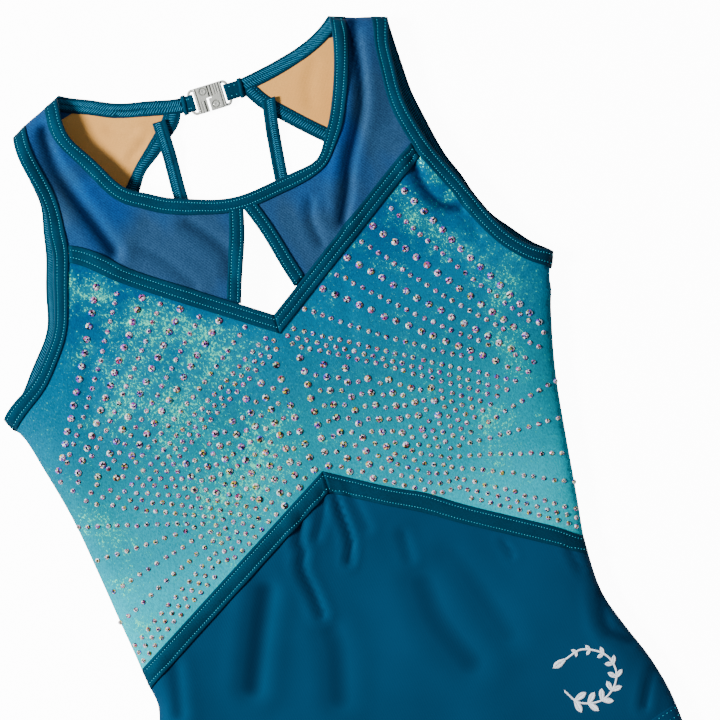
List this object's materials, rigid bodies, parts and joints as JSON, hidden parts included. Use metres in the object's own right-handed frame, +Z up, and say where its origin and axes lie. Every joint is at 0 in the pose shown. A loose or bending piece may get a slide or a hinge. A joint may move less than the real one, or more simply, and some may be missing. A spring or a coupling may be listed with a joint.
{
  "type": "gymnastics leotard",
  "caption": "Sleeveless gymnastics leotard lying flat: mesh yokes, keyhole front, open back with straps and clear clasp, brief-cut legs.",
  "frame": {"origin": "on the surface the leotard lies on, under the middle of its length and width", "axes": "+Y towards the neck, +Z up out of the front, so -X is the left side as seen from the front"},
  "size_m": [0.314, 0.596, 0.0146],
  "materials": {
    "binding_cloth": "matte stretch binding, dark teal",
    "brief_cloth": "smooth matte spandex, dark teal",
    "yoke_mesh": "fine power mesh, blue to teal",
    "bodice_foil": "spandex with an ombre and glossy foil flecks",
    "nude_lining": "matte nude lining",
    "elastic": "woven white elastic",
    "clasp_plastic": "clear glossy plastic",
    "embroidery_thread": "satin white thread",
    "stitch_thread": "teal sewing thread",
    "rhinestone": "faceted crystal with a rainbow coating"
  },
  "bodies": {
    "garment": {"front_yoke_left": "yoke_mesh", "front_yoke_right": "yoke_mesh", "back_yoke_left": "yoke_mesh", "back_yoke_right": "yoke_mesh", "front_yoke_lining_left": "nude_lining", "front_yoke_lining_right": "nude_lining", "back_yoke_lining_left": "nude_lining", "back_yoke_lining_right": "nude_lining", "gusset_lining": "nude_lining", "front_bodice": "bodice_foil", "back_bodice": "bodice_foil", "front_brief": "brief_cloth", "back_brief": "brief_cloth", "leg_hem_front_left": "brief_cloth", "leg_hem_front_right": "brief_cloth", "leg_hem_back_left": "brief_cloth", "leg_hem_back_right": "brief_cloth", "leg_elastic_front_left": "elastic", "leg_elastic_front_right": "elastic", "leg_elastic_back_left": "elastic", "leg_elastic_back_right": "elastic", "neck_binding_front": "binding_cloth", "neck_binding_back_left": "binding_cloth", "neck_binding_back_right": "binding_cloth", "armhole_binding_front_left": "binding_cloth", "armhole_binding_front_right": "binding_cloth", "armhole_binding_back_left": "binding_cloth", "armhole_binding_back_right": "binding_cloth", "keyhole_binding_left": "binding_cloth", "keyhole_binding_right": "binding_cloth", "chest_binding_left": "binding_cloth", "chest_binding_right": "binding_cloth", "waist_binding_front_left": "binding_cloth", "waist_binding_front_right": "binding_cloth", "waist_binding_back_left": "binding_cloth", "waist_binding_back_right": "binding_cloth", "back_yoke_binding_left": "binding_cloth", "back_yoke_binding_right": "binding_cloth", "back_bodice_binding_left": "binding_cloth", "back_bodice_binding_right": "binding_cloth", "back_strap_left": "binding_cloth", "back_strap_right": "binding_cloth", "side_seam_left": "binding_cloth", "side_seam_right": "binding_cloth", "shoulder_seam_left": "binding_cloth", "shoulder_seam_right": "binding_cloth", "crotch_seam": "binding_cloth", "clasp_tab_right": "binding_cloth", "clasp_half_right": "clasp_plastic", "hip_embroidery": "embroidery_thread"},
    "clasp_left": {"clasp_half_left": "clasp_plastic", "clasp_tab_left": "binding_cloth"}
  },
  "joints": [
    {"name": "clasp_release", "type": "slide", "parent": "garment", "child": "clasp_left", "axis": [0, 1, 0], "range_m": [0, 0.009]}
  ]
}
